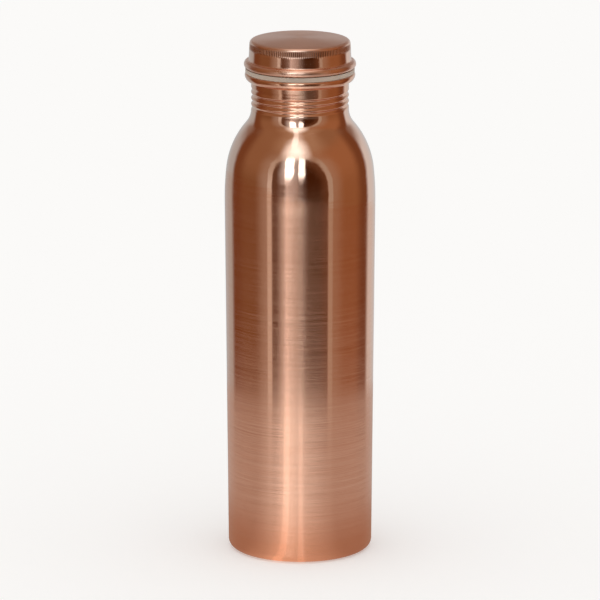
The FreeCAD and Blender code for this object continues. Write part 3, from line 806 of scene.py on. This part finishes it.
def body_copper():
    """Copper brushed round the wall and the neck, and polished over the shoulder between."""
    material, nodes = new_material("body_copper")
    polished, neck = body_finishes(nodes)
    brushed = nodes.minus(1.0, polished)
    broad = nodes.noise(30, 6, 0.75, (0.3, 0.3, 24.0))
    fine = nodes.noise(60, 5, 0.8, (0.4, 0.4, 60.0))
    lines = nodes.plus(nodes.times(broad, 0.6), nodes.times(fine, 0.4))

    cloud = nodes.noise(35, 4, 0.6)
    colour = nodes.mix(nodes.smooth(lines, 0.35, 0.68), WALL_DARK, WALL_LIGHT)
    colour = nodes.mix(nodes.times(cloud, 0.35), colour, WALL_CLOUD)
    colour = nodes.mix(polished, colour, nodes.mix(cloud, COPPER, CLOUDY_COPPER))
    colour = stained(nodes, colour, 70, 0.58, 0.18)

    # Each fine scratch blurs, and the smooth ground between two scratches mirrors.
    scratches = nodes.noise(60, 2, 0.6, (0.4, 0.4, 200.0))
    scratches = nodes.math("MULTIPLY_ADD", lines, 0.07, scratches)
    brushed_rough = nodes.smooth(scratches, 0.47, 0.63, 0.07, 0.245)
    polished_rough = nodes.smooth(nodes.noise(260, 5, 0.6), 0.35, 0.75, 0.05, 0.11)
    rough = nodes.plus(nodes.times(brushed_rough, brushed), nodes.times(polished_rough, polished))
    # The neck is smoother, and its highlights are less drawn out.
    rough = nodes.times(rough, nodes.smooth(neck, 0.0, 1.0, 1.0, 0.7))
    rough = nodes.math("MULTIPLY_ADD", neck, 0.03, rough)
    anisotropic = nodes.math("MULTIPLY_ADD", neck, -0.6, 1.0)

    normal = nodes.bump(lines, 0.0000025, brushed)
    waves = nodes.noise(75, 2, 0.5, (1.0, 1.0, 1.6))
    normal = nodes.bump(waves, 0.00012, polished, normal)
    spun_metal(nodes, colour, rough, normal, anisotropic)
    return material


def spun_copper(name, rough, anisotropic, tint):
    """Spun copper with turning marks, for the plug and the base."""
    material, nodes = new_material(name)
    marks = turning_marks(nodes)
    darker = tuple(value * 0.86 for value in tint)
    colour = nodes.mix(nodes.times(nodes.noise(60, 4, 0.6), 0.6), tint, darker)
    colour = stained(nodes, colour, 140, 0.56, 0.2)
    rough = nodes.smooth(marks, 0.3, 0.7, *rough)
    spun_metal(nodes, colour, rough, nodes.bump(marks, 0.00002), anisotropic)
    return material


def cap_copper():
    """A polished skirt, a satin dome with concentric marks, and a satin rolled rim."""
    material, nodes = new_material("cap_copper")
    place = nodes.add("TexCoord", output="Object")
    _, _, z = nodes.split(place)
    radius = nodes.distance(place)
    dome = nodes.times(nodes.smooth(z, *DOME_STARTS), nodes.smooth(radius, *DOME_ENDS, 1.0, 0.0))
    rim = nodes.smooth(z, *RIM_ENDS, 1.0, 0.0)
    rings = nodes.noise(2600, 5, 0.75, at=nodes.add("CombineXYZ", {"X": radius}))
    cloud = nodes.noise(80, 4, 0.6)
    colour = stained(nodes, nodes.mix(cloud, COPPER, CAP_CLOUD), 160, 0.55, 0.2)

    # The bottoms of the knurl's grooves are darkened: painted shade in the recesses, and old polish.
    groove = nodes.math("COSINE", nodes.times(nodes.azimuth(place), math.radians(KNURL_COUNT)))
    on_knurl = nodes.band(z, KNURL_FOOT * MM, KNURL_TOP * MM, 0.0004)
    groove = nodes.times(nodes.smooth(groove, -0.2, 0.7), on_knurl)
    colour = nodes.mix(nodes.times(groove, 0.8), colour, GROOVE_SHADE_AND_POLISH)

    skirt_rough = nodes.smooth(turning_marks(nodes), 0.3, 0.7, 0.07, 0.14)
    rough = nodes.between(dome, skirt_rough, nodes.smooth(rings, 0.3, 0.7, 0.28, 0.37))
    rough = nodes.between(rim, rough, nodes.smooth(cloud, 0.3, 0.7, 0.26, 0.36))
    normal = nodes.bump(rings, 0.00002, dome)
    normal = nodes.bump(nodes.noise(150, 2, 0.5), 0.00003, normal=normal)
    spun_metal(nodes, colour, rough, normal, 0.5)
    return material


def braze_metal():
    """Phosphor-copper braze: duller and greyer than the sheet, with a rippled skin."""
    material, nodes = new_material("braze_metal")
    flow = nodes.noise(500, 5, 0.6)
    nodes.surface("Material", nodes.add("BsdfPrincipled", {
        "Base Color": nodes.mix(flow, BRAZE_DARK, BRAZE_LIGHT), "Metallic": 1.0,
        "Roughness": nodes.smooth(flow, 0.3, 0.7, 0.28, 0.5), "Normal": nodes.bump(flow, 0.0001),
    }))
    return material


def silicone():
    """Milky silicone with a matt moulded skin and a little dust."""
    material, nodes = new_material("silicone")
    cloud = nodes.noise(220, 4, 0.6)
    dust = nodes.smooth(nodes.noise(2600, 3, 0.6), 0.62, 0.72)
    colour = nodes.mix(cloud, SILICONE_DARK, SILICONE_LIGHT)
    nodes.surface("Material", nodes.add("BsdfPrincipled", {
        "Base Color": nodes.mix(nodes.times(dust, 0.3), colour, DUST),
        "Roughness": nodes.smooth(cloud, 0.3, 0.7, 0.38, 0.55),
        "Normal": nodes.bump(nodes.noise(3000, 4, 0.6), 0.00002),
        "Subsurface Weight": 0.35, "Subsurface Radius": (1.0, 0.8, 0.6),
        "Subsurface Scale": 0.0015, "Coat Weight": 0.1, "Coat Roughness": 0.4,
    }))
    return material


# ---------------------------------------------------------------- the scene

def main():
    add_camera()
    studio_world()
    add_floor()
    add_table()
    bpy.context.scene.view_settings.view_transform = "Standard"
    finishes = (
        (make_bottle_body, body_copper()),
        (make_base_dish, spun_copper("base_copper", (0.2, 0.34), 0.7, BRUSHED_COPPER)),
        (make_braze, braze_metal()),
        (make_seal, silicone()),
        (make_cap, cap_copper()),
        (make_plug, spun_copper("plug_copper", (0.14, 0.26), 0.5, COPPER)),
    )
    for make, material in finishes:
        piece = make()
        piece.data.materials.append(material)


main()
